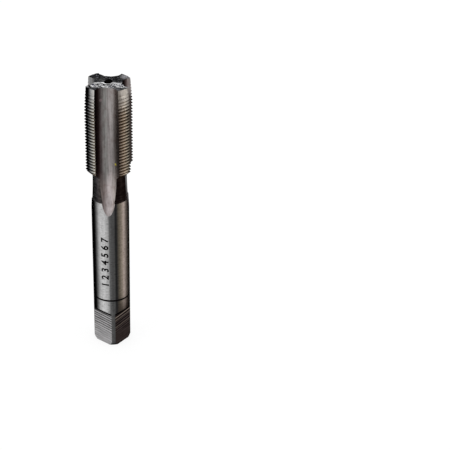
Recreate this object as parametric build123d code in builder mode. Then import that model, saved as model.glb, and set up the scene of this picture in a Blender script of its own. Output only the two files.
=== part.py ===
import math
import os

from build123d import *

os.makedirs("parts", exist_ok=True)

# Driving sizes along the tool, in mm, from the square end upwards
overall_length = 70.0
thread_length = 23.0
neck_length = 6.3
lead_length = 5.5
square_length = 9.4
ring_above_square = 4.0

# Driving sizes across the tool
thread_diameter = 12.0
thread_pitch = 0.75
lead_drop = 0.52
neck_diameter = 8.6
shank_diameter = 9.0
square_across_flats = 7.0

# Form of the thread groove
thread_depth = 0.46
groove_mouth_width = 0.66
groove_floor_width = 0.10
groove_clearance = 0.08
turn_gap = 20.0
thread_overrun = 1.0

# Four straight flutes with round floors
flute_count = 4
web_diameter = 6.2
flute_radius = 2.9
flute_runout_radius = 41.0
flute_runout_above_thread_end = 0.9
flute_azimuth = -90.0
flute_exit_clearance = 0.5

# The square stands a few degrees off the flutes, as it was milled in its own clamping
flat_count = 4
square_azimuth = -80.7
square_runout_angle = 40.0

# Small turned details
ring_width = 0.5
ring_depth = 0.25
end_chamfer_radial = 0.45
end_chamfer_height = 0.9
shoulder_rise = 0.2

# Centre holes that the tool was ground on
top_centre_diameter = 2.0
bottom_centre_diameter = 2.2
centre_angle = 60.0
pilot_share = 0.45
pilot_depth = 1.2

# Heights and radii that follow from the sizes above
thread_radius = thread_diameter / 2
neck_radius = neck_diameter / 2
shank_radius = shank_diameter / 2
lead_radius = thread_radius - lead_drop
lead_start = overall_length - lead_length
thread_end = overall_length - thread_length
thread_full_start = thread_end + thread_radius - neck_radius
shoulder_height = thread_end - neck_length
ring_height = square_length + ring_above_square
flank_slope = (groove_mouth_width - groove_floor_width) / 2 / thread_depth

# One turn of the groove, left open where it would cross the flute at the azimuth it starts from
with BuildPart() as groove_turn:
    turn_path = Helix(
        pitch=thread_pitch,
        height=thread_pitch * (1 - turn_gap / 360),
        radius=thread_radius,
    )
    with BuildSketch(Plane(origin=turn_path @ 0, x_dir=(1, 0, 0), z_dir=turn_path % 0)):
        with BuildLine():
            mouth = groove_mouth_width / 2
            floor = groove_floor_width / 2
            Polyline(
                (groove_clearance, mouth + groove_clearance * flank_slope),
                (groove_clearance, -mouth - groove_clearance * flank_slope),
                (-thread_depth, -floor),
                (-thread_depth, floor),
                close=True,
            )
        make_face()
    sweep(path=turn_path, is_frenet=True)

groove_start = thread_end - thread_overrun
turn_count = math.ceil((thread_length + 2 * thread_overrun) / thread_pitch)
turn_places = [
    Location((0, 0, groove_start + turn * thread_pitch), (0, 0, turn_gap / 2)) for turn in range(turn_count)
]

# Path of the round flute wheel: straight down the thread, then out through neck and shank on an arc
flute_path_radius = web_diameter / 2 + flute_radius
runout_start = thread_end + flute_runout_above_thread_end
climb = shank_radius + flute_radius + flute_exit_clearance - flute_path_radius
runout_angle = math.degrees(math.acos(1 - climb / flute_runout_radius))
with BuildPart() as flute:
    with BuildLine(Plane.XZ) as flute_path:
        Line((flute_path_radius, overall_length + thread_overrun), (flute_path_radius, runout_start))
        CenterArc(
            (flute_path_radius + flute_runout_radius, runout_start),
            flute_runout_radius,
            180,
            runout_angle,
        )
    with BuildSketch(Plane.XY.offset(overall_length + thread_overrun)):
        with Locations((flute_path_radius, 0)):
            Circle(flute_radius)
    sweep(path=flute_path.line)

# One flat of the driving square, with a short slope up to the round shank
runout_rise = shank_radius * math.tan(math.radians(square_runout_angle))
with BuildPart() as flat_cut:
    with BuildSketch(Plane.XZ):
        with BuildLine():
            Polyline(
                (square_across_flats / 2, -thread_overrun),
                (square_across_flats / 2, square_length),
                (square_across_flats / 2 + shank_radius, square_length + runout_rise),
                (square_across_flats / 2 + shank_radius, -thread_overrun),
                close=True,
            )
        make_face()
    extrude(amount=shank_radius, both=True)

with BuildPart() as tap:
    # Turned outline: square end, ring, shank, neck, back chamfer, thread crests and tapered lead
    with BuildSketch(Plane.XZ):
        with BuildLine():
            Polyline(
                (0, 0),
                (shank_radius - end_chamfer_radial, 0),
                (shank_radius, end_chamfer_height),
                (shank_radius, ring_height - ring_width / 2),
                (shank_radius - ring_depth, ring_height),
                (shank_radius, ring_height + ring_width / 2),
                (shank_radius, shoulder_height - shoulder_rise),
                (neck_radius, shoulder_height),
                (neck_radius, thread_end),
                (thread_radius, thread_full_start),
                (thread_radius, lead_start),
                (lead_radius, overall_length),
                (0, overall_length),
                close=True,
            )
        make_face()
    revolve(axis=Axis.Z)

    # Flutes
    with PolarLocations(0, flute_count, start_angle=flute_azimuth):
        add(flute.part, mode=Mode.SUBTRACT)

    # Driving square
    with PolarLocations(0, flat_count, start_angle=square_azimuth + 180 / flat_count):
        add(flat_cut.part, mode=Mode.SUBTRACT)

    # Centre holes in both ends
    with Locations((0, 0, overall_length)):
        CounterSinkHole(
            radius=top_centre_diameter / 2 * pilot_share,
            counter_sink_radius=top_centre_diameter / 2,
            depth=top_centre_diameter + pilot_depth,
            counter_sink_angle=centre_angle,
        )
    with Locations(Location((0, 0, 0), (180, 0, 0))):
        CounterSinkHole(
            radius=bottom_centre_diameter / 2 * pilot_share,
            counter_sink_radius=bottom_centre_diameter / 2,
            depth=bottom_centre_diameter + pilot_depth,
            counter_sink_angle=centre_angle,
        )

    # Helical thread groove, one turn after the other
    with Locations(*turn_places):
        add(groove_turn.part, mode=Mode.SUBTRACT)

tap.part.label = "tap"
export_step(tap.part, "parts/tap.step")
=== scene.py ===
import math

import bmesh
import bpy
from mathutils import Matrix, Vector, noise


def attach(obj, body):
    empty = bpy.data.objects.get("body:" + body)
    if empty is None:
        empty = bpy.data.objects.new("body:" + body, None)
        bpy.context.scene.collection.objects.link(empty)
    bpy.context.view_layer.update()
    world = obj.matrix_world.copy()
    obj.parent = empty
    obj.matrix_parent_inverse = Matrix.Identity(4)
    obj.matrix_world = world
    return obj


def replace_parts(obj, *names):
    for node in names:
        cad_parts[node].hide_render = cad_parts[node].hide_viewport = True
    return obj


MM = 0.001

# Sizes of the tap along its axis, the same as in the part's source
LENGTH = 70.0 * MM
THREAD_END = 47.0 * MM
SHOULDER = 40.7 * MM
SHOULDER_RISE = 0.2 * MM
LEAD_LENGTH = 5.5 * MM
SQUARE_LENGTH = 9.4 * MM
RING_HEIGHT = 13.4 * MM
RING_WIDTH = 0.5 * MM
RING_DEPTH = 0.25 * MM
END_CHAMFER_HEIGHT = 0.9 * MM
END_CHAMFER_RADIAL = 0.45 * MM

# Sizes across the tap
THREAD_RADIUS = 6.0 * MM
LEAD_RADIUS = 5.48 * MM
NECK_RADIUS = 4.3 * MM
SHANK_RADIUS = 4.5 * MM
HALF_ACROSS_FLATS = 3.5 * MM
FLAT_SLOPE = math.tan(math.radians(40))

# Thread groove: where its first turn starts, and the height at which it crosses azimuth 0
PITCH = 0.75 * MM
GROOVE_DEPTH = 0.46 * MM
GROOVE_HALF_MOUTH = 0.33 * MM
GROOVE_HALF_FLOOR = 0.05 * MM
GROOVE_START = 46.0 * MM
GROOVE_START_DEGREES = 10
GROOVE_ZERO = GROOVE_START - PITCH * GROOVE_START_DEGREES / 360

# Flutes and driving square, with azimuths counted from +X
SIDES = 4
STEP = math.tau / SIDES
HALF_STEP = STEP / 2
FLUTE_AZIMUTH = math.radians(-90)
SQUARE_AZIMUTH = math.radians(-80.7)
FLUTE_RADIUS = 2.9 * MM
FLUTE_CENTRE = 6.0 * MM
RUNOUT_RADIUS = 41.0 * MM
RUNOUT_START = THREAD_END + 0.9 * MM

# Centre holes: a cone that narrows to a straight pilot
TOP_HOLE_RADIUS = 1.0 * MM
BASE_HOLE_RADIUS = 1.1 * MM
HOLE_SLOPE = math.tan(math.radians(60))
PILOT_SHARE = 0.45
PILOT_DEPTH = 1.2 * MM

# Broken grain of the blank end: depth and width of its hollows, and how much finer others are
GRAIN_DEPTH = 0.11 * MM
GRAIN_WIDTH = 0.7 * MM
GRAIN_FINER = 2.3
COARSE_SHARE = 0.65
FINE_SHARE = 0.35

# Columns of the mesh in half a flute and half a land, and the angles that the flute columns keep to
GAP_COLUMNS = 11
LAND_COLUMNS = 8
NARROWEST_GAP = math.radians(1.2)
FLUTE_EDGE = math.radians(28)

# Rows of the mesh: on the slope of the flats, on one pitch of the thread, and on the two end faces
SLOPE_ROWS = 14
PITCH_ROWS = (-0.5, -0.44, -0.25, -0.07, 0.07, 0.25, 0.44)
FACE_ROWS = 14
BASE_ROWS = (0.0, 0.33, 0.66)
ROW_NUDGE = 0.02 * MM

# Finish of the mesh; ORDER_STEP is more than any sum of a face's corner numbers
MERGE_DISTANCE = 0.002 * MM
SLIVER_DISTANCE = 0.001 * MM
SHARP_ANGLE = math.radians(28)
ORDER_STEP = 10**8

# Heights where the columns of the mesh change from following the flutes to following the flats
FLUTE_TIP = RUNOUT_START - math.sqrt(
    RUNOUT_RADIUS**2 - (RUNOUT_RADIUS - (SHANK_RADIUS + FLUTE_RADIUS - FLUTE_CENTRE)) ** 2
)
SLOPE_TOP = SQUARE_LENGTH + (SHANK_RADIUS - HALF_ACROSS_FLATS) * FLAT_SLOPE

# Heights between which the rows of the mesh take up the climb of the thread
HELIX_FADE_LOW = THREAD_END - 2.2 * MM
HELIX_FADE_HIGH = THREAD_END - 1.0 * MM

# Zones of the surface, in the order of the piece's material slots
ZONES = ("land", "flute", "face", "neck", "shank", "flat", "base", "hole", "ring")

# Plain numbers etched up the shank
MARK_TEXT = "1 2 3 4 5 6 7"
MARK_SIZE = 2.5 * MM
MARK_BOLD = 0.075 * MM
MARK_SPACING = 1.06
MARK_STRIPS = 16
MARK_MIDDLE = 0.35
MARK_FOOT = 17.4 * MM
MARK_AZIMUTH = math.radians(-104.5)
MARK_PROUD = 0.006 * MM

# Heights in mm between which tones fade into one another: finishes, painted reflections and painted
# shade
RIGHT_SHADE_FADE = (SLOPE_TOP / MM + 0.1, SLOPE_TOP / MM + 5.2)
RUNOUT_FADE = (44.6, 48.8)
FLOOR_FADE = (48.0, 69.0)
LEAD_FADE = (63.6, 67.4)
GROOVE_SHADE_FADE = (64.0, 67.8)
FRONT_END_FADE = (60.0, 67.0)
BACK_WALL_FADE = (65.0, 67.2)
MILLED_FADE = (2.6, 5.4)
RUN_OUT_SHADE_FADE = (SQUARE_LENGTH / MM - 0.6, SQUARE_LENGTH / MM - 0.46)

# Radii in mm between which the painted shade in the grooves of the thread, and the painted shade
# and light on the back walls of the flutes, change
GROOVE_RADII = ((THREAD_RADIUS - GROOVE_DEPTH) / MM + 0.06, THREAD_RADIUS / MM - 0.1)
WALL_RADII = (3.4, 5.3)

# Milled flats: spacing of the tool lines in mm, their lean to the back and how uneven they are
LINE_SPACING = 0.68
LINE_LEAN = 0.085
LINE_UNEVEN = 0.3
LINE_FADE = (-0.6, 0.9)

# Scratches on the flat with painted shade: height in mm with strength, and how they fade to their
# sides
SCRATCHES = {8.55: 0.6, 7.65: 0.34, 5.65: 0.26}
SCRATCH_FADE = (0.04, 0.16)

# Blank end, in mm: the path and width of the painted highlight along its lip, and where the painted
# highlights on the ridges begin and end
LIP_FORWARD = 0.95
LIP_WAVE = 1.5
LIP_BOW = 0.03
LIP_TILT = 0.06
LIP_FADE = (0.18, 0.3)
RIDGES_FADE = (0.3, 0.6)
FRONT_RIM_FADE = (2.7, 3.5)

# Noise value along which the ridges run, and how far they spread from it
RIDGE_LEVEL = 0.52
RIDGE_SPREAD = (0.02, 0.06)

# Blank end: a pale spot at the rim, and a painted shadow behind the hole
PALE_CORNER = (3.7 * MM, 3.4 * MM, LENGTH)
PALE_FADE = (0.9 * MM, 1.6 * MM)
HOLE_SHADE = (0.1 * MM, 0.75 * MM, LENGTH)
SHADE_FADE = (0.6 * MM, 0.95 * MM)

# Small specks in the front flute
YELLOW_SPECK = (1.77 * MM, -3.7 * MM, 50.8 * MM)
SPECK_RADIUS = 0.19 * MM
PINK_SMUDGE = (-1.4 * MM, -3.46 * MM, 66.9 * MM)
SMUDGE_RADIUS = 0.26 * MM
SPECK_BLUR = 1.8

# Screen colours of the painted shade on the shank, of scratches and of the painted shade line above
# the flats
RIGHT_SHADE_COLOUR = (40, 32, 30)
SCRATCH_COLOUR = (176, 162, 150)
RUN_OUT_SHADE_COLOUR = (10, 8, 8)

# Soft boxes: place, width and watts
SOFT_BOXES = {
    "key": ((-1.0, -0.7, 1.8), 1.0, 5.0),
    "fill": ((1.3, -0.3, 1.5), 1.0, 2.5),
    "top": ((0.0, 0.6, 2.2), 1.2, 5.0),
}
ROOM_LIGHT = 0.8
FLOOR_SIZE = 3.0

# Camera, found from the outlines in the photograph (frame of 450 by 450)
CAMERA_DISTANCE = 0.2739
CAMERA_HEIGHT = 0.1919
CAMERA_AZIMUTH = math.radians(6.0)
CAMERA_PITCH = math.radians(30.18)
CAMERA_YAW = math.radians(5.77)
CAMERA_ROLL = math.radians(1.89)
CAMERA_LENS = 104.85
SENSOR_WIDTH = 36.0

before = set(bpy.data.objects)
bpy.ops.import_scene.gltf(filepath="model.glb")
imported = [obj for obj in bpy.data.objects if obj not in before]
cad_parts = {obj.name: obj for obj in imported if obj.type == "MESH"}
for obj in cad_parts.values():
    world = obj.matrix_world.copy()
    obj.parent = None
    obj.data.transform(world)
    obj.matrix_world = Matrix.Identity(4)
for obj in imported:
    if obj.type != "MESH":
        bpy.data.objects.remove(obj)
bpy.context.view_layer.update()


def between(value, low, high):
    """Share of the way from low to high, held inside 0 and 1."""
    return min(1.0, max(0.0, (value - low) / (high - low)))


def outline_radius(z):
    """Turned outline of the tap at height z, with no flutes, flats or thread groove."""
    if z < END_CHAMFER_HEIGHT:
        return SHANK_RADIUS - END_CHAMFER_RADIAL * (1 - z / END_CHAMFER_HEIGHT)
    if z < SHOULDER:
        ring = max(0.0, 1 - abs(z - RING_HEIGHT) / (RING_WIDTH / 2)) * RING_DEPTH
        rise = max(0.0, z - SHOULDER + SHOULDER_RISE) / SHOULDER_RISE
        return SHANK_RADIUS - ring - rise * (SHANK_RADIUS - NECK_RADIUS)
    if z < THREAD_END:
        return NECK_RADIUS
    lead = max(0.0, z - LENGTH + LEAD_LENGTH) / LEAD_LENGTH * (THREAD_RADIUS - LEAD_RADIUS)
    return min(NECK_RADIUS + z - THREAD_END, THREAD_RADIUS - lead)


def thread_radius(z, azimuth):
    """Radius of the helical groove at this place, or of the crests between its turns."""
    turns = (z - GROOVE_ZERO) / PITCH - azimuth / math.tau
    off = abs(turns - round(turns)) * PITCH
    return THREAD_RADIUS - GROOVE_DEPTH * between(off, GROOVE_HALF_MOUTH, GROOVE_HALF_FLOOR)


def body_radius(z, azimuth):
    """Outline with the thread, but with no flutes or flats."""
    radius = outline_radius(z)
    if z < GROOVE_ZERO:
        return radius
    return min(radius, thread_radius(z, azimuth))


def flute_centre(z):
    """Distance of the flute's round section from the axis, which grows in the runout."""
    below = max(0.0, RUNOUT_START - z)
    return FLUTE_CENTRE + RUNOUT_RADIUS - math.sqrt(RUNOUT_RADIUS**2 - below**2)


def flute_half_angle(z, radius):
    """Half the angle that a flute takes out of a body of this radius, or 0 below its tip."""
    centre = flute_centre(z)
    cosine = (radius**2 + centre**2 - FLUTE_RADIUS**2) / (2 * radius * centre)
    return math.acos(cosine) if cosine < 1 else 0.0


def flute_point(z, edge_radius, share):
    """Radius and angle of a point on the flute's floor, from its middle at 0 to its edge at 1."""
    centre = flute_centre(z)
    cosine = (centre**2 + FLUTE_RADIUS**2 - edge_radius**2) / (2 * centre * FLUTE_RADIUS)
    turn = share * math.acos(cosine)
    along = centre - FLUTE_RADIUS * math.cos(turn)
    across = FLUTE_RADIUS * math.sin(turn)
    return math.hypot(along, across), math.atan2(across, along)


def flute_surface(z, angle):
    """Radius of the flute's floor at an angle from its middle."""
    centre = flute_centre(z)
    root = FLUTE_RADIUS**2 - (centre * math.sin(angle)) ** 2
    return centre * math.cos(angle) - math.sqrt(max(root, 0.0))


def flat_distance(z):
    """Distance of the driving flats from the axis."""
    return HALF_ACROSS_FLATS + max(0.0, z - SQUARE_LENGTH) / FLAT_SLOPE


def corner_half_angle(z):
    """Half the angle of the round corner between two flats, a whole half step above them."""
    share = flat_distance(z) / outline_radius(z)
    return HALF_STEP - math.acos(share) if share < 1 else HALF_STEP


def broken_depth(x, y):
    """How far the blank end lies below its highest grains at this place."""
    coarse = noise.noise(Vector((x, y, 0.0)) / GRAIN_WIDTH)
    fine = noise.noise(Vector((y, x, GRAIN_WIDTH)) / GRAIN_WIDTH * GRAIN_FINER)
    return GRAIN_DEPTH * (1 + COARSE_SHARE * coarse + FINE_SHARE * fine)


def spaced(low, high, count):
    """Evenly spaced heights from low up to, but without, high."""
    return [low + (high - low) * i / count for i in range(count)]


def levels():
    """Heights of the mesh rows, close together where the form changes."""
    ring_low, ring_high = RING_HEIGHT - RING_WIDTH / 2, RING_HEIGHT + RING_WIDTH / 2
    tip_low, tip_high = FLUTE_TIP - 0.2 * MM, FLUTE_TIP + 0.8 * MM
    rows = spaced(0.0, END_CHAMFER_HEIGHT, 4)
    rows += spaced(END_CHAMFER_HEIGHT, SQUARE_LENGTH, 4)
    rows += [
        SQUARE_LENGTH + (SLOPE_TOP - SQUARE_LENGTH) * math.sin(math.pi / 2 * i / SLOPE_ROWS)
        for i in range(SLOPE_ROWS)
    ]
    for low, high, count in (
        (SLOPE_TOP, ring_low, 3),
        (ring_low, ring_high, 4),
        (ring_high, tip_low, 16),
        (tip_low, tip_high, 12),
        (tip_high, SHOULDER - SHOULDER_RISE, 10),
        (SHOULDER - SHOULDER_RISE, SHOULDER, 2),
        (SHOULDER, HELIX_FADE_LOW, 14),
        (HELIX_FADE_LOW, HELIX_FADE_HIGH, 12),
    ):
        rows += spaced(low, high, count)
    first_turn = math.ceil((HELIX_FADE_HIGH - GROOVE_ZERO) / PITCH)
    last_turn = math.ceil((LENGTH - GROOVE_ZERO) / PITCH)
    turns = [turn + share for turn in range(first_turn, last_turn + 1) for share in PITCH_ROWS]
    rows += [GROOVE_ZERO + PITCH * (turn + FLUTE_AZIMUTH / math.tau) for turn in turns]
    return rows


def columns():
    """Columns of the mesh: side, share of the half gap or of the land, and if it is in a gap."""
    made = []
    for side in range(SIDES):
        start = 0 if side == 0 else -GAP_COLUMNS
        made += [(side, i / GAP_COLUMNS, True) for i in range(start, GAP_COLUMNS)]
        made += [(side, i / (2 * LAND_COLUMNS), False) for i in range(2 * LAND_COLUMNS)]
    made += [(SIDES, i / GAP_COLUMNS, True) for i in range(-GAP_COLUMNS, 0)]
    return made


def gap_half_angle(z, azimuth):
    """Half the angle that the gap columns take up: a flute above, a corner of the square below."""
    if z > FLUTE_TIP:
        return max(NARROWEST_GAP, flute_half_angle(z, body_radius(z, azimuth)))
    if z > SLOPE_TOP:
        share = between(z, SLOPE_TOP, FLUTE_TIP)
        return (HALF_STEP - NARROWEST_GAP) * (1 - share) + NARROWEST_GAP * share
    return min(HALF_STEP - NARROWEST_GAP, corner_half_angle(z))


def helix_climb(column):
    """Share of a turn that a row has climbed at a column; it falls back inside the first flute."""
    side, share, in_gap = column
    if not in_gap:
        return (side * STEP + FLUTE_EDGE + (STEP - 2 * FLUTE_EDGE) * share) / math.tau
    if side == SIDES:
        return (1 - FLUTE_EDGE / math.tau) * -share
    return (side * STEP + share * FLUTE_EDGE) / math.tau


def skin_point(level, column, ceiling):
    """Point of the tap's skin at a mesh row and column, no higher than the ceiling."""
    side, share, in_gap = column
    turned = (SQUARE_AZIMUTH - FLUTE_AZIMUTH) * (1 - between(level, SLOPE_TOP, FLUTE_TIP))
    middle = FLUTE_AZIMUTH + turned + side * STEP
    z = level + PITCH * helix_climb(column) * between(level, HELIX_FADE_LOW, HELIX_FADE_HIGH)
    z = min(z, ceiling)

    edge = middle + math.copysign(FLUTE_EDGE, share)
    if in_gap and z > FLUTE_TIP and flute_half_angle(z, body_radius(z, edge)) > NARROWEST_GAP:
        radius, turn = flute_point(z, body_radius(z, edge), share)
        angle = middle + turn
    elif in_gap:
        off = share * gap_half_angle(z, edge)
        angle = middle + off
        radius = body_radius(z, angle)
        if z > FLUTE_TIP and abs(off) < flute_half_angle(z, radius):
            radius = min(radius, flute_surface(z, off))
    else:
        first = gap_half_angle(z, middle + FLUTE_EDGE)
        last = gap_half_angle(z, middle + STEP - FLUTE_EDGE)
        angle = middle + first + (STEP - first - last) * share
        radius = body_radius(z, angle)
        if z < SLOPE_TOP:
            radius = min(radius, flat_distance(z) / math.cos(angle - middle - HALF_STEP))
    return Vector((radius * math.cos(angle), radius * math.sin(angle), z))


def zone_of(level, column):
    """Zone of the outside that starts at a mesh row and column."""
    in_gap = column[2]
    height = level + ROW_NUDGE
    if in_gap and height > FLUTE_TIP:
        return "flute"
    if height > THREAD_END:
        return "land"
    if height > SHOULDER - SHOULDER_RISE:
        return "neck"
    if not in_gap and height < SLOPE_TOP:
        return "flat"
    if abs(height - RING_HEIGHT) < RING_WIDTH / 2:
        return "ring"
    return "shank"


def shrunk(row, hole_radius, share):
    """Row drawn in towards a round hole; share 1 leaves it, share 0 is the hole's edge."""
    made = []
    for point in row:
        radius = math.hypot(point.x, point.y)
        scale = (hole_radius + (radius - hole_radius) * share) / radius
        made.append(Vector((point.x * scale, point.y * scale, point.z)))
    return made


def pilot_row(row, hole_radius):
    """Row round the pilot of a centre hole, and the depths of the pilot's mouth and floor."""
    pilot = hole_radius * PILOT_SHARE
    cone = (hole_radius - pilot) * HOLE_SLOPE
    return shrunk(row, pilot, 0.0), (cone, cone + PILOT_DEPTH)


def at_height(row, height):
    """Row with all its points at one height."""
    return [Vector((point.x, point.y, height)) for point in row]


def skin_rows():
    """Rows from the base hole, up the outside, into the top hole, each with its zone or level."""
    cols = columns()
    rim = [skin_point(LENGTH, column, LENGTH) for column in cols]
    ceilings = [LENGTH - broken_depth(point.x, point.y) for point in rim]
    foot = [skin_point(0.0, column, LENGTH) for column in cols]

    pilot, depths = pilot_row(foot, BASE_HOLE_RADIUS)
    rows = [(at_height(pilot, depth), "hole") for depth in reversed(depths)]
    rows += [(shrunk(foot, BASE_HOLE_RADIUS, share), "base") for share in BASE_ROWS]
    for level in levels():
        outside = [skin_point(level, column, top) for column, top in zip(cols, ceilings)]
        rows.append((outside, level))

    # The last row of the outside is the rim, where the blank end starts
    rows[-1] = (rows[-1][0], "face")
    for i in range(FACE_ROWS - 1, -1, -1):
        ring = shrunk(rim, TOP_HOLE_RADIUS, i / FACE_ROWS)
        for point in ring:
            point.z = LENGTH - broken_depth(point.x, point.y)
        rows.append((ring, "face" if i else "hole"))
    pilot, depths = pilot_row(rim, TOP_HOLE_RADIUS)
    rows += [(at_height(pilot, LENGTH - depth), "hole") for depth in depths]
    return cols, rows


def next_row(shell, row):
    """Extrudes the open edge of the shell; gives the new vertices in the order of the old ones."""
    edges = [shell.edges.get(pair) for pair in zip(row, row[1:] + row[:1])]
    made = bmesh.ops.extrude_edge_only(shell, edges=edges)["geom"]
    fresh = {item for item in made if isinstance(item, bmesh.types.BMVert)}
    return [next(e.other_vert(v) for e in v.link_edges if e.other_vert(v) in fresh) for v in row]


def close_end(shell, row):
    """Closes the open edge of the shell with the floor of a centre hole."""
    for face in bmesh.ops.contextual_create(shell, geom=row)["faces"]:
        face.material_index = ZONES.index("hole")


def row_order(part):
    """Number that sorts edges or faces by their lowest corner, and then by the others."""
    corners = [vertex.index for vertex in part.verts]
    return min(corners) * ORDER_STEP + sum(corners)


def build_skin():
    """The whole tap as one closed shell, drawn up row by row from the floor of the base hole."""
    cols, rows = skin_rows()
    shell = bmesh.new()
    floor = bmesh.ops.create_circle(shell, segments=len(cols), radius=BASE_HOLE_RADIUS)
    row = floor["verts"]
    for vertex, point in zip(row, rows[0][0]):
        vertex.co = point
    close_end(shell, row)

    # A row starts faces of its own zone, or of the zones that the outside has at its level
    for (_, start), (points, _) in zip(rows, rows[1:]):
        row = next_row(shell, row)
        for vertex, point in zip(row, points):
            vertex.co = point
        for column, pair in zip(cols, zip(row, row[1:] + row[:1])):
            zone = start if isinstance(start, str) else zone_of(start, column)
            shell.edges.get(pair).link_faces[0].material_index = ZONES.index(zone)
    close_end(shell, row)

    bmesh.ops.remove_doubles(shell, verts=shell.verts, dist=MERGE_DISTANCE)
    bmesh.ops.dissolve_degenerate(shell, edges=shell.edges, dist=SLIVER_DISTANCE)
    bmesh.ops.recalc_face_normals(shell, faces=shell.faces)
    for face in shell.faces:
        face.smooth = True

    # Extrusions leave edges and faces in another order each run
    shell.verts.index_update()
    shell.edges.sort(key=row_order)
    shell.faces.sort(key=row_order)
    mesh = bpy.data.meshes.new("tap_skin")
    shell.to_mesh(mesh)
    shell.free()
    mesh.set_sharp_from_angle(angle=SHARP_ANGLE)
    return mesh


def srgb(red, green, blue):
    """Linear colour from screen values of 0 to 255."""
    def linear(value):
        share = value / 255
        return share / 12.92 if share <= 0.04045 else ((share + 0.055) / 1.055) ** 2.4

    return linear(red), linear(green), linear(blue)


def grey(value):
    """Neutral linear grey from a screen value."""
    return srgb(value, value, value)


def turn_share(degrees):
    """Share of a turn as the place group gives it, for degrees from the front flute."""
    return 0.5 + degrees / 360


def bands(*stops):
    """Ramp stops from pairs of degrees and a colour, closed at the back of the tap."""
    closed = [(-180, stops[0][1]), *stops, (180, stops[0][1])]
    return [(turn_share(degrees), colour) for degrees, colour in closed]


def join(tree, value, socket):
    """Sets a node's input to a number or a colour, or links it to another node's output."""
    if isinstance(value, bpy.types.NodeSocket):
        tree.links.new(value, socket)
    elif isinstance(value, tuple) and socket.type == "RGBA":
        socket.default_value = (*value, 1)
    else:
        socket.default_value = value


def math_node(tree, operation, *values):
    """Result of a sum on numbers or sockets."""
    node = tree.nodes.new("ShaderNodeMath")
    node.operation = operation
    for value, socket in zip(values, node.inputs):
        join(tree, value, socket)
    return node.outputs[0]


def product(tree, first, second):
    """Product of two numbers or sockets."""
    return math_node(tree, "MULTIPLY", first, second)


def vector_node(tree, operation, first, second, into=1):
    """Node for a sum on vectors; the second value goes into the input that is named."""
    node = tree.nodes.new("ShaderNodeVectorMath")
    node.operation = operation
    join(tree, first, node.inputs[0])
    join(tree, second, node.inputs[into])
    return node.outputs


def mixed(tree, factor, first, second, blend="MIX"):
    """Mix of two colours."""
    node = tree.nodes.new("ShaderNodeMix")
    node.data_type = "RGBA"
    node.blend_type = blend
    for value, index in ((factor, 0), (first, 6), (second, 7)):
        join(tree, value, node.inputs[index])
    return node.outputs[2]


def map_value(tree, value, low, high, to_low=0.0, to_high=1.0):
    """Value carried from one range to another, held inside it."""
    node = tree.nodes.new("ShaderNodeMapRange")
    for name, number in (
        ("Value", value),
        ("From Min", low),
        ("From Max", high),
        ("To Min", to_low),
        ("To Max", to_high),
    ):
        join(tree, number, node.inputs[name])
    return node.outputs["Result"]


def by_mask(tree, mask, none, full):
    """Value that goes from one number to another as a mask goes from 0 to 1."""
    return map_value(tree, mask, 0.0, 1.0, none, full)


def ramp(tree, value, stops):
    """Colour ramp over a value; stops are pairs of a position and a colour."""
    node = tree.nodes.new("ShaderNodeValToRGB")
    elements = node.color_ramp.elements
    elements[0].position, elements[0].color = stops[0][0], (*stops[0][1], 1)
    elements[1].position, elements[1].color = stops[-1][0], (*stops[-1][1], 1)
    for position, colour in stops[1:-1]:
        elements.new(position).color = (*colour, 1)
    join(tree, value, node.inputs[0])
    return node.outputs[0]


def noise_value(tree, vector, scale, detail, roughness):
    """Noise between 0 and 1."""
    node = tree.nodes.new("ShaderNodeTexNoise")
    for name, value in (
        ("Vector", vector),
        ("Scale", scale),
        ("Detail", detail),
        ("Roughness", roughness),
    ):
        join(tree, value, node.inputs[name])
    return node.outputs["Fac"]


def object_vector(tree):
    """Place on the surface in the object's own frame, in metres."""
    return tree.nodes.new("ShaderNodeTexCoord").outputs["Object"]


def object_axes(tree):
    """The same place as its x, y and z."""
    node = tree.nodes.new("ShaderNodeSeparateXYZ")
    join(tree, object_vector(tree), node.inputs[0])
    return node.outputs


def stretched(tree, scale):
    """The same place, stretched by a scale for each axis."""
    return vector_node(tree, "MULTIPLY", object_vector(tree), scale)["Vector"]


def distance_from(tree, point):
    """Distance of the surface from a point of the tap, in metres."""
    return vector_node(tree, "DISTANCE", object_vector(tree), point)["Value"]


def scaled(tree, colour, gain):
    """Colour made lighter or darker by a gain."""
    return vector_node(tree, "SCALE", colour, gain, into="Scale")["Vector"]


def new_group(name, inputs, outputs):
    """Empty shader group; inputs give each socket's first value, outputs each socket's kind."""
    tree = bpy.data.node_groups.new(name, "ShaderNodeTree")
    for label, value in inputs.items():
        kind = "NodeSocketColor" if isinstance(value, tuple) else "NodeSocketFloat"
        socket = tree.interface.new_socket(label, in_out="INPUT", socket_type=kind)
        socket.default_value = (*value, 1) if isinstance(value, tuple) else value
    for label, kind in outputs.items():
        tree.interface.new_socket(label, in_out="OUTPUT", socket_type=kind)
    entry = tree.nodes.new("NodeGroupInput").outputs
    leave = tree.nodes.new("NodeGroupOutput").inputs
    return tree, entry, leave


def use_group(tree, group, **values):
    """Group placed in a material, with its own values; gives its outputs."""
    node = tree.nodes.new("ShaderNodeGroup")
    node.node_tree = group
    for label, value in values.items():
        join(tree, value, node.inputs[label])
    return node.outputs


def place_group():
    """Where a point lies: share of a turn, 0.5 at the front flute, and height and radius in mm."""
    outputs = dict.fromkeys(("Azimuth", "Height", "Radius"), "NodeSocketFloat")
    tree, _, leave = new_group("place_on_tap", {}, outputs)
    x, y, z = object_axes(tree)
    angle = math_node(tree, "ARCTAN2", x, product(tree, y, -1.0))
    turned = math_node(tree, "DIVIDE", angle, math.tau)
    join(tree, math_node(tree, "ADD", turned, 0.5), leave["Azimuth"])
    join(tree, math_node(tree, "DIVIDE", z, MM), leave["Height"])
    squares = math_node(tree, "ADD", product(tree, x, x), product(tree, y, y))
    radius = math_node(tree, "SQRT", squares)
    join(tree, math_node(tree, "DIVIDE", radius, MM), leave["Radius"])
    return tree


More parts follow.
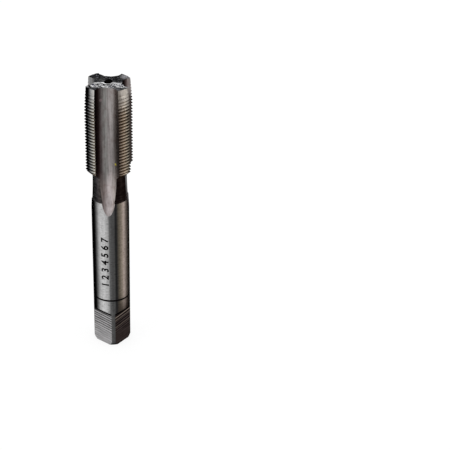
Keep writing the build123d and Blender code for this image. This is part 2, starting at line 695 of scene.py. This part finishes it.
def marks_group():
    """Fine tool marks: Gain is their tone, Across and Along say how many there are in a metre."""
    inputs = {"Color": grey(128), "Gain": 0.6, "Across": 2600.0, "Along": 60.0}
    outputs = {"Color": "NodeSocketColor", "Mask": "NodeSocketFloat"}
    tree, entry, leave = new_group("tool_marks", inputs, outputs)
    scale = tree.nodes.new("ShaderNodeCombineXYZ")
    for socket, label in zip(scale.inputs, ("Across", "Across", "Along")):
        join(tree, entry[label], socket)
    place = stretched(tree, scale.outputs[0])
    grain = noise_value(tree, place, scale=1.0, detail=4.0, roughness=0.6)
    mask = map_value(tree, grain, 0.4, 0.66)
    gain = by_mask(tree, mask, 1.0, entry["Gain"])
    join(tree, scaled(tree, entry["Color"], gain), leave["Color"])
    join(tree, mask, leave["Mask"])
    return tree


def stains_group():
    """Cloudy brown stains of dried oil: Size says how many patches there are in a metre."""
    inputs = {"Color": grey(128), "Stain": srgb(190, 178, 168), "Amount": 0.5, "Size": 420.0}
    outputs = {"Color": "NodeSocketColor", "Mask": "NodeSocketFloat"}
    tree, entry, leave = new_group("oil_stains", inputs, outputs)
    place = object_vector(tree)
    cloud = noise_value(tree, place, scale=entry["Size"], detail=6.0, roughness=0.72)
    mask = map_value(tree, cloud, 0.5, 0.66)
    factor = product(tree, mask, entry["Amount"])
    stained = mixed(tree, factor, entry["Color"], entry["Stain"], "MULTIPLY")
    join(tree, stained, leave["Color"])
    join(tree, mask, leave["Mask"])
    return tree


def new_metal(name, edge):
    """Material of bare metal, with its tree and shader; edge is the grey that its rims reflect."""
    material = bpy.data.materials.new(name)
    material.use_nodes = True
    tree = material.node_tree
    shader = tree.nodes["Principled BSDF"]
    join(tree, 1.0, shader.inputs["Metallic"])
    join(tree, grey(edge), shader.inputs["Specular Tint"])
    return material, tree, shader


def finish(tree, shader, colour, roughness):
    """Gives a shader its colour and roughness."""
    join(tree, colour, shader.inputs["Base Color"])
    join(tree, roughness, shader.inputs["Roughness"])


def bump(tree, shader, height, distance):
    """Relief on a shader's normal, as deep as the distance."""
    node = tree.nodes.new("ShaderNodeBump")
    join(tree, distance, node.inputs["Distance"])
    join(tree, height, node.inputs["Height"])
    join(tree, node.outputs[0], shader.inputs["Normal"])


def shank_material(groups):
    """Ground steel: long soft bands of painted reflection, fine grinding marks, small stains, and
    painted shade above two flats.
    """
    material, tree, shader = new_metal("ground_shank", edge=62)
    spot = use_group(tree, groups["place"])
    # Painted reflections: light and dark bands round the shank
    painted_reflection_tones = ramp(
        tree,
        spot["Azimuth"],
        bands(
            (-160, grey(120)),
            (-140, grey(176)),
            (-118, grey(132)),
            (-96, grey(70)),
            (-76, grey(34)),
            (-61, grey(28)),
            (-53, grey(27)),
            (-48, grey(62)),
            (-39, grey(124)),
            (-33, grey(170)),
            (-26, grey(193)),
            (-14, grey(190)),
            (-8, grey(172)),
            (-2, grey(150)),
            (1, grey(94)),
            (8, grey(78)),
            (16, grey(69)),
            (20, grey(32)),
            (24, grey(38)),
            (27, srgb(65, 61, 55)),
            (33, srgb(98, 90, 79)),
            (40, srgb(128, 118, 107)),
            (47, srgb(168, 154, 145)),
            (52, srgb(160, 147, 140)),
            (58, srgb(122, 114, 108)),
            (66, srgb(92, 87, 84)),
            (76, srgb(70, 66, 64)),
            (104, grey(38)),
            (130, grey(176)),
            (156, grey(92)),
        ),
    )
    marks = groups["marks"]
    ground = use_group(tree, marks, Color=painted_reflection_tones, Gain=0.72, Across=900.0, Along=5200.0)
    drawn = use_group(tree, marks, Color=ground["Color"], Gain=1.22, Across=3000.0, Along=140.0)
    stained = use_group(
        tree,
        groups["stains"],
        Color=drawn["Color"],
        Stain=srgb(120, 108, 100),
        Amount=0.35,
        Size=2400.0,
    )

    # Painted shade on the right, densest just above the flats
    right = bands(
        (-20, grey(0)),
        (18, grey(0)),
        (34, grey(255)),
        (72, grey(255)),
        (110, grey(0)),
    )
    low = map_value(tree, spot["Height"], *RIGHT_SHADE_FADE, 0.8, 0.0)
    right_shade = product(tree, ramp(tree, spot["Azimuth"], right), low)
    colour = mixed(tree, right_shade, stained["Color"], srgb(*RIGHT_SHADE_COLOUR))
    finish(tree, shader, colour, by_mask(tree, stained["Mask"], 0.32, 0.5))
    bump(tree, shader, ground["Mask"], 0.002 * MM)
    return material


def neck_material(groups):
    """Black oxide between thread and shank, with painted reflections lighter on the left, faint
    turned lines and a little wear.
    """
    material, tree, shader = new_metal("black_neck", edge=44)
    spot = use_group(tree, groups["place"])
    # Painted reflections on the black oxide, lighter on the left than on the right
    painted_reflection_tones = ramp(
        tree,
        spot["Azimuth"],
        bands(
            (-130, grey(40)),
            (-84, grey(60)),
            (-68, grey(58)),
            (-57, grey(46)),
            (-46, grey(46)),
            (-38, srgb(56, 53, 55)),
            (-33, srgb(64, 60, 59)),
            (18, srgb(18, 13, 12)),
            (34, srgb(20, 14, 13)),
            (44, srgb(32, 26, 24)),
            (60, srgb(26, 20, 19)),
            (68, srgb(50, 46, 45)),
            (84, grey(66)),
            (120, grey(32)),
        ),
    )
    marks = groups["marks"]
    turned = use_group(tree, marks, Color=painted_reflection_tones, Gain=2.2, Across=380.0, Along=2600.0)
    wear_and_shade = use_group(tree, marks, Color=turned["Color"], Gain=0.55, Across=1500.0, Along=1500.0)
    finish(tree, shader, wear_and_shade["Color"], 0.44)
    bump(tree, shader, turned["Mask"], 0.008 * MM)
    return material


def land_material(groups):
    """Ground thread: pale crests and painted reflections, painted shade browning the grooves, and
    brighter painted reflections on the tapered lead.
    """
    material, tree, shader = new_metal("thread_land", edge=60)
    spot = use_group(tree, groups["place"])
    # Painted reflections: bands of light and shade round the thread, lighter on the tapered lead
    thread_tones = ramp(
        tree,
        spot["Azimuth"],
        bands(
            (-150, grey(200)),
            (-118, grey(150)),
            (-68, grey(56)),
            (-60, grey(46)),
            (-55, grey(16)),
            (-50, grey(24)),
            (-46, grey(80)),
            (-42, grey(140)),
            (-38, srgb(182, 181, 176)),
            (-34, srgb(214, 213, 206)),
            (-30, srgb(228, 226, 220)),
            (28, srgb(108, 96, 88)),
            (33, srgb(152, 139, 126)),
            (38, srgb(178, 162, 146)),
            (43, srgb(202, 187, 169)),
            (47, srgb(202, 189, 171)),
            (53, srgb(164, 155, 141)),
            (57, srgb(100, 94, 87)),
            (62, srgb(58, 54, 50)),
            (112, srgb(56, 52, 48)),
            (124, srgb(164, 156, 150)),
            (150, grey(200)),
        ),
    )
    lead_tones = ramp(
        tree,
        spot["Azimuth"],
        bands(
            (-150, grey(170)),
            (-118, grey(110)),
            (-58, grey(44)),
            (-49, grey(20)),
            (-46, grey(48)),
            (-42, grey(124)),
            (-38, grey(160)),
            (-34, srgb(198, 197, 194)),
            (-30, srgb(206, 203, 200)),
            (28, srgb(122, 116, 110)),
            (34, srgb(148, 142, 135)),
            (40, srgb(188, 180, 172)),
            (47, srgb(198, 190, 180)),
            (53, srgb(194, 187, 179)),
            (58, srgb(158, 152, 146)),
            (62, srgb(108, 104, 100)),
            (118, srgb(120, 114, 110)),
            (150, grey(150)),
        ),
    )
    lead = map_value(tree, spot["Height"], *LEAD_FADE)
    painted_reflection_tones = mixed(tree, lead, thread_tones, lead_tones)

    # Painted shade in the grooves, browner and darker on the right
    groove_shade = map_value(tree, spot["Radius"], *GROOVE_RADII, 0.9, 0.0)
    below_lead = map_value(tree, spot["Height"], *GROOVE_SHADE_FADE, 1.0, 0.0)
    groove_shade_stops = bands((-30, srgb(168, 154, 142)), (28, srgb(116, 101, 88)))
    groove_shade_tone = ramp(tree, spot["Azimuth"], groove_shade_stops)
    painted_shade = mixed(tree, product(tree, groove_shade, below_lead), painted_reflection_tones, groove_shade_tone, "MULTIPLY")

    marks = use_group(tree, groups["marks"], Color=painted_shade, Gain=0.7, Across=1800.0, Along=700.0)
    stained = use_group(tree, groups["stains"], Color=marks["Color"], Amount=0.5, Size=700.0)
    finish(tree, shader, stained["Color"], by_mask(tree, stained["Mask"], 0.3, 0.5))
    bump(tree, shader, marks["Mask"], 0.006 * MM)
    return material


def with_speck(tree, colour, point, speck, radius, strength):
    """Colour with a small speck of another colour round a point of the tap."""
    off = distance_from(tree, point)
    inside = map_value(tree, off, radius, radius * SPECK_BLUR, strength, 0.0)
    return mixed(tree, inside, colour, speck)


def flute_material(groups):
    """Flute floors: painted reflections with painted shade at both walls and satin grey between,
    long drawn marks, brown stains.
    """
    material, tree, shader = new_metal("flute_floor", edge=70)
    spot = use_group(tree, groups["place"])
    # Painted reflections across the floor and the runout, with painted shade at both walls
    floor_tones = ramp(
        tree,
        spot["Azimuth"],
        bands(
            (-152, grey(90)),
            (-120, grey(158)),
            (-108, grey(150)),
            (-94, grey(110)),
            (-64, grey(46)),
            (-30, srgb(34, 24, 24)),
            (-27, srgb(42, 31, 31)),
            (-24, srgb(70, 62, 62)),
            (-20, srgb(101, 96, 95)),
            (-15, srgb(115, 113, 111)),
            (-8, srgb(125, 124, 122)),
            (3, srgb(128, 123, 122)),
            (11, srgb(140, 135, 134)),
            (17, srgb(146, 141, 139)),
            (21, srgb(126, 121, 119)),
            (24, srgb(118, 112, 109)),
            (27, srgb(108, 100, 96)),
            (31, srgb(88, 80, 76)),
            (64, srgb(66, 58, 54)),
            (84, srgb(110, 102, 98)),
            (104, srgb(52, 45, 43)),
            (124, srgb(60, 54, 52)),
            (150, grey(96)),
            (166, grey(140)),
        ),
    )
    runout_tones = ramp(
        tree,
        spot["Azimuth"],
        bands(
            (-110, grey(130)),
            (-70, grey(56)),
            (-30, srgb(60, 52, 52)),
            (-24, srgb(96, 88, 85)),
            (-15, srgb(118, 108, 106)),
            (-9, srgb(138, 130, 129)),
            (-2, srgb(174, 166, 166)),
            (10, srgb(184, 176, 175)),
            (20, srgb(166, 158, 154)),
            (58, srgb(54, 48, 48)),
            (92, srgb(58, 52, 52)),
            (116, grey(130)),
        ),
    )
    lighter = map_value(tree, spot["Height"], *FLOOR_FADE, 1.0, 1.16)
    runout = map_value(tree, spot["Height"], *RUNOUT_FADE, 1.0, 0.0)
    colour = mixed(tree, runout, scaled(tree, floor_tones, lighter), runout_tones)

    # Wall behind the right land: painted light near the blank end and outwards, painted shade
    # deeper in
    back_wall = ramp(
        tree,
        spot["Azimuth"],
        bands((86, grey(0)), (104, grey(255)), (128, grey(255)), (140, grey(0))),
    )
    near_top = product(tree, back_wall, map_value(tree, spot["Height"], *BACK_WALL_FADE))
    wall_shade_stops = [
        (0.1, srgb(34, 28, 28)),
        (0.55, srgb(80, 70, 68)),
        (0.9, srgb(150, 142, 140)),
    ]
    wear_and_shade = ramp(tree, map_value(tree, spot["Radius"], *WALL_RADII), wall_shade_stops)
    colour = mixed(tree, near_top, colour, wear_and_shade)

    # Front flute near the blank end: darker on the left, lit along its right edge
    darker_left = map_value(
        tree, spot["Azimuth"], turn_share(-24), turn_share(-10), 0.66, 1.0
    )
    right_edge = ramp(
        tree,
        spot["Azimuth"],
        bands((17, grey(0)), (26, grey(255)), (34, grey(255)), (50, grey(0))),
    )
    lit_right = by_mask(tree, right_edge, 1.0, 1.7)
    shaded = scaled(tree, scaled(tree, colour, darker_left), lit_right)
    near_end = map_value(tree, spot["Height"], *FRONT_END_FADE)
    colour = mixed(tree, near_end, colour, shaded)

    marks = groups["marks"]
    drawn = use_group(tree, marks, Color=colour, Gain=0.72, Across=2600.0, Along=110.0)
    rubbed = use_group(tree, marks, Color=drawn["Color"], Gain=1.25, Across=1500.0, Along=260.0)
    stained = use_group(
        tree,
        groups["stains"],
        Color=rubbed["Color"],
        Stain=srgb(210, 194, 191),
        Amount=0.6,
        Size=640.0,
    )
    colour = stained["Color"]
    for point, speck, radius, strength in (
        (YELLOW_SPECK, srgb(214, 202, 70), SPECK_RADIUS, 0.9),
        (PINK_SMUDGE, srgb(150, 128, 132), SMUDGE_RADIUS, 0.3),
    ):
        colour = with_speck(tree, colour, point, speck, radius, strength)
    finish(tree, shader, colour, by_mask(tree, drawn["Mask"], 0.36, 0.5))
    bump(tree, shader, drawn["Mask"], 0.006 * MM)
    return material


def face_material():
    """Blank cut end: dark broken grain with painted glints, a painted highlight along the lip and
    on the ridges before the hole, and a painted shadow behind it.
    """
    material, tree, shader = new_metal("cut_face", edge=90)
    x, y, _ = object_axes(tree)
    across = math_node(tree, "DIVIDE", x, MM)
    forward = math_node(tree, "DIVIDE", y, -MM)
    place, drawn_out = object_vector(tree), stretched(tree, (820.0, 1500.0, 0.0))
    patches = noise_value(tree, place, scale=520.0, detail=2.0, roughness=0.5)
    ridges = noise_value(tree, drawn_out, scale=1.0, detail=2.0, roughness=0.5)
    flecks = noise_value(tree, place, scale=2400.0, detail=2.0, roughness=0.6)

    # Way in mm before the lip, a curve that passes just in front of the hole
    wave = product(tree, math_node(tree, "SUBTRACT", patches, 0.5), LIP_WAVE)
    bow = product(tree, product(tree, across, across), LIP_BOW)
    tilt = math_node(tree, "MULTIPLY_ADD", across, LIP_TILT, wave)
    curve = math_node(tree, "ADD", bow, tilt)
    before = math_node(tree, "ADD", math_node(tree, "SUBTRACT", forward, LIP_FORWARD), curve)
    lip = map_value(tree, math_node(tree, "ABSOLUTE", before), *LIP_FADE, 1.0, 0.0)

    # Painted highlights on the ridges between the lip and the front rim
    front = map_value(tree, before, *RIDGES_FADE)
    rim = map_value(tree, forward, *FRONT_RIM_FADE, 1.0, 0.1)
    lit = product(tree, front, rim)
    off = math_node(tree, "ABSOLUTE", math_node(tree, "SUBTRACT", ridges, RIDGE_LEVEL))
    ridge_highlight = product(tree, map_value(tree, off, *RIDGE_SPREAD, 1.0, 0.0), lit)
    white = math_node(tree, "MAXIMUM", ridge_highlight, lip)
    pale_tones = [
        (0.4, srgb(14, 14, 22)),
        (0.54, srgb(56, 54, 66)),
        (0.74, srgb(124, 122, 138)),
    ]
    pale = ramp(tree, ridges, pale_tones)

    # Dark grain behind them with painted glints, a pale spot at the corner, and a painted black
    # shadow behind the hole
    dark = ramp(tree, patches, [(0.32, grey(38)), (0.5, grey(58)), (0.68, grey(92))])
    glint = map_value(tree, flecks, 0.56, 0.7, 0.0, 0.75)
    grain = mixed(tree, glint, dark, srgb(150, 150, 158))
    pale_spot_tone = ramp(tree, flecks, [(0.4, grey(128)), (0.62, srgb(188, 186, 192))])
    pale_spot = map_value(tree, distance_from(tree, PALE_CORNER), *PALE_FADE, 0.9, 0.0)
    black = map_value(tree, distance_from(tree, HOLE_SHADE), *SHADE_FADE, 1.0, 0.0)
    back = mixed(tree, black, mixed(tree, pale_spot, grain, pale_spot_tone), grey(4))

    # Painted highlights: pale ridges in the lit front part, and pure white on the lip and the ridge
    # tops
    colour = mixed(tree, white, mixed(tree, lit, back, pale), grey(255))
    finish(tree, shader, colour, 0.5)
    bump(tree, shader, ridges, 0.06 * MM)
    return material


def tool_lines(tree, height):
    """Mask of the lines that a milling cutter leaves at their spacing, a little uneven."""
    uneven = noise_value(tree, object_vector(tree), scale=420.0, detail=2.0, roughness=0.5)
    turns = math_node(tree, "DIVIDE", height, LINE_SPACING)
    wavy = math_node(tree, "ADD", turns, product(tree, uneven, LINE_UNEVEN))
    waves = math_node(tree, "SINE", product(tree, wavy, math.tau))
    return map_value(tree, waves, *LINE_FADE)


def flat_material(groups):
    """Milled flats: tool lines, painted reflections that are light on one front flat and painted
    shade on the other, scratches on that one, and a line of painted shade where they run out.
    """
    material, tree, shader = new_metal("milled_flat", edge=70)
    spot = use_group(tree, groups["place"])
    # Painted reflections: light on the left front flat, painted shade on the right one
    light, painted_shade = srgb(140, 139, 140), srgb(54, 48, 47)
    painted_reflection_tones = ramp(
        tree,
        spot["Azimuth"],
        bands(
            (-170, grey(104)),
            (-82, grey(112)),
            (-79, light),
            (8, light),
            (10, painted_shade),
            (97, painted_shade),
            (101, grey(118)),
            (172, grey(118)),
        ),
    )

    # Tool lines that rise a little to the back, faint near the end
    rise = product(tree, object_axes(tree)[1], -LINE_LEAN / MM)
    leaning = math_node(tree, "ADD", spot["Height"], rise)
    lines = tool_lines(tree, leaning)
    strong = map_value(tree, spot["Height"], *MILLED_FADE, 0.25, 1.0)
    lined = scaled(tree, painted_reflection_tones, by_mask(tree, product(tree, lines, strong), 1.5, 0.2))

    marks = groups["marks"]
    milled = use_group(tree, marks, Color=lined, Gain=1.5, Across=120.0, Along=3800.0)
    scored = use_group(tree, marks, Color=milled["Color"], Gain=0.62, Across=260.0, Along=2300.0)
    stained = use_group(tree, groups["stains"], Color=scored["Color"], Amount=0.3, Size=1300.0)
    colour = stained["Color"]

    # Scratches on the flat with painted shade
    shaded_flat_side = ramp(
        tree,
        spot["Azimuth"],
        bands((8, grey(0)), (10, grey(255)), (97, grey(255)), (101, grey(0))),
    )
    for height, strength in SCRATCHES.items():
        off = math_node(tree, "ABSOLUTE", math_node(tree, "SUBTRACT", leaning, height))
        bright = product(tree, shaded_flat_side, map_value(tree, off, *SCRATCH_FADE, strength, 0.0))
        colour = mixed(tree, bright, colour, srgb(*SCRATCH_COLOUR))

    # Painted shade: a dark line at the top of the flats, where they run out
    run_out_shade = map_value(tree, spot["Height"], *RUN_OUT_SHADE_FADE, 0.0, 0.97)
    finish(tree, shader, mixed(tree, run_out_shade, colour, srgb(*RUN_OUT_SHADE_COLOUR)), 0.42)
    bump(tree, shader, lines, 0.01 * MM)
    return material


def base_material(groups):
    """Turned end face under the square."""
    material, tree, shader = new_metal("turned_base", edge=120)
    turned = use_group(
        tree, groups["marks"], Color=grey(132), Gain=0.6, Across=900.0, Along=900.0
    )
    finish(tree, shader, turned["Color"], 0.45)
    bump(tree, shader, turned["Mask"], 0.01 * MM)
    return material


def dark_material(groups, name, tone, roughness):
    """Near-black metal: painted shade in the holes, a near-black ring line, and etched numbers dark
    with old oxide.
    """
    material, tree, shader = new_metal(name, edge=20)
    marks = use_group(tree, groups["marks"], Color=tone, Gain=1.8, Across=1500.0, Along=1500.0)
    finish(tree, shader, marks["Color"], roughness)
    return material


def link_piece(name, mesh):
    """Object for a finished piece, which belongs to the tap."""
    piece = bpy.data.objects.new(name, mesh)
    bpy.context.collection.objects.link(piece)
    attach(piece, "root")
    return piece


def build_tap(groups):
    """The tap's detailed piece, with one material for each zone of its surface."""
    mesh = build_skin()
    materials = {
        "land": land_material(groups),
        "flute": flute_material(groups),
        "face": face_material(),
        "neck": neck_material(groups),
        "shank": shank_material(groups),
        "flat": flat_material(groups),
        "base": base_material(groups),
        # Painted shade: the centre holes are near-black
        "hole": dark_material(groups, "hole_painted_shade", srgb(7, 5, 5), 0.6),
        "ring": dark_material(groups, "ring_line", srgb(16, 14, 14), 0.5),
    }
    for zone in ZONES:
        mesh.materials.append(materials[zone])
    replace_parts(link_piece("tap_body", mesh), "tap")


def build_number_row(groups):
    """Plain numbers from one to seven, etched dark up the shank and bent round it."""
    curve = bpy.data.curves.new("number_row", "FONT")
    curve.body = MARK_TEXT
    curve.size = MARK_SIZE
    curve.offset = MARK_BOLD
    curve.space_character = MARK_SPACING
    typed = bpy.data.objects.new("number_row_text", curve)
    mesh = bpy.data.meshes.new_from_object(typed)
    bpy.data.objects.remove(typed)

    # Level cuts through the flat numbers let them bend round the shank
    cut = bmesh.new()
    cut.from_mesh(mesh)
    for i in range(1, MARK_STRIPS):
        geometry = cut.verts[:] + cut.edges[:] + cut.faces[:]
        level = (0, MARK_SIZE * i / MARK_STRIPS, 0)
        bmesh.ops.bisect_plane(cut, geom=geometry, plane_co=level, plane_no=(0, 1, 0))
    radius = SHANK_RADIUS + MARK_PROUD
    for vertex in cut.verts:
        along, up = vertex.co.x, vertex.co.y
        angle = MARK_AZIMUTH - (up - MARK_SIZE * MARK_MIDDLE) / SHANK_RADIUS
        vertex.co = (radius * math.cos(angle), radius * math.sin(angle), MARK_FOOT + along)

    # Every face looks away from the axis
    bmesh.ops.recalc_face_normals(cut, faces=cut.faces)
    for face in cut.faces:
        centre = face.calc_center_median()
        if face.normal.dot(Vector((centre.x, centre.y, 0))) < 0:
            face.normal_flip()
    cut.to_mesh(mesh)
    cut.free()
    mesh.materials.clear()
    mesh.materials.append(dark_material(groups, "etched_mark", srgb(10, 9, 9), 0.55))
    link_piece("number_row", mesh)


def build_floor():
    """Plain white light table, far wider than the view."""
    shell = bmesh.new()
    bmesh.ops.create_grid(shell, x_segments=1, y_segments=1, size=FLOOR_SIZE)
    mesh = bpy.data.meshes.new("floor")
    shell.to_mesh(mesh)
    shell.free()
    material = bpy.data.materials.new("white_floor")
    material.use_nodes = True
    shader = material.node_tree.nodes["Principled BSDF"]
    for label, value in (
        ("Base Color", (0.2, 0.2, 0.2)),
        ("Roughness", 1.0),
        ("Specular IOR Level", 0.0),
        ("Emission Color", (1.0, 1.0, 1.0)),
        ("Emission Strength", 0.83),
    ):
        join(material.node_tree, value, shader.inputs[label])
    mesh.materials.append(material)
    floor = bpy.data.objects.new("floor", mesh)
    bpy.context.collection.objects.link(floor)


def build_light():
    """Soft studio light: an even pale room and large soft boxes turned to the tap."""
    world = bpy.data.worlds.new("room")
    world.use_nodes = True
    background = world.node_tree.nodes["Background"]
    join(world.node_tree, (1.0, 1.0, 1.0), background.inputs["Color"])
    join(world.node_tree, ROOM_LIGHT, background.inputs["Strength"])
    bpy.context.scene.world = world
    middle = Vector((0, 0, LENGTH / 2))
    for name, (place, width, watts) in SOFT_BOXES.items():
        light = bpy.data.lights.new(name, "AREA")
        light.size = width
        light.energy = watts
        lamp = bpy.data.objects.new(name, light)
        lamp.location = place
        lamp.rotation_euler = (middle - Vector(place)).to_track_quat("-Z", "Y").to_euler()
        bpy.context.collection.objects.link(lamp)


def build_camera():
    """Camera at the photograph's place: turned by the yaw, tipped down, with a slight roll."""
    camera = bpy.data.cameras.new("camera")
    camera.lens = CAMERA_LENS
    camera.sensor_width = SENSOR_WIDTH
    camera.clip_start = 0.01
    camera.clip_end = 20
    eye = bpy.data.objects.new("camera", camera)
    turn = Matrix.Rotation(CAMERA_AZIMUTH, 4, "Z")
    stand = Matrix.Translation((0, -CAMERA_DISTANCE, CAMERA_HEIGHT))
    yaw = Matrix.Rotation(-CAMERA_YAW, 4, "Z")
    pitch = Matrix.Rotation(math.pi / 2 - CAMERA_PITCH, 4, "X")
    roll = Matrix.Rotation(CAMERA_ROLL, 4, "Z")
    eye.matrix_world = turn @ stand @ yaw @ pitch @ roll
    bpy.context.collection.objects.link(eye)
    bpy.context.scene.camera = eye


surface_groups = {"place": place_group(), "marks": marks_group(), "stains": stains_group()}
build_tap(surface_groups)
build_number_row(surface_groups)
build_floor()
build_light()
build_camera()
bpy.context.scene.view_settings.view_transform = "Standard"
